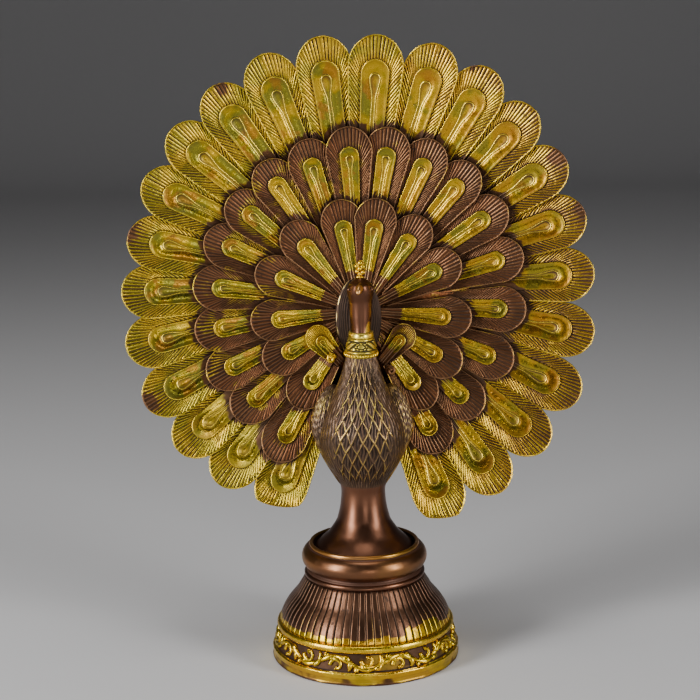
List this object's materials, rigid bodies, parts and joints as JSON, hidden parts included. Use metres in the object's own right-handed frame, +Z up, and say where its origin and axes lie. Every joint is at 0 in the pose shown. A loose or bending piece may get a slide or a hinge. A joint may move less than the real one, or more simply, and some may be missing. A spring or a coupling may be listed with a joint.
{
  "type": "peacock figurine",
  "caption": "Cast bronze peacock figurine with its tail spread as a round fan, standing on a turned and fluted round base.",
  "frame": {"origin": "centre of the round base's flat underside", "axes": "+Z up through the base's axis, the bird looks along -Y, +X to the viewer's right"},
  "size_m": [0.2254, 0.0924, 0.3021],
  "materials": {
    "patinated_bronze": "polished red-brown patina over cast bronze, with worn gilding on the rings and the scroll band",
    "gilded_bronze": "worn gilding over cast bronze, dark red-brown patina in the hollows and on the bird's body"
  },
  "bodies": {
    "root": {"base": "patinated_bronze", "peacock": "gilded_bronze"}
  },
  "joints": []
}
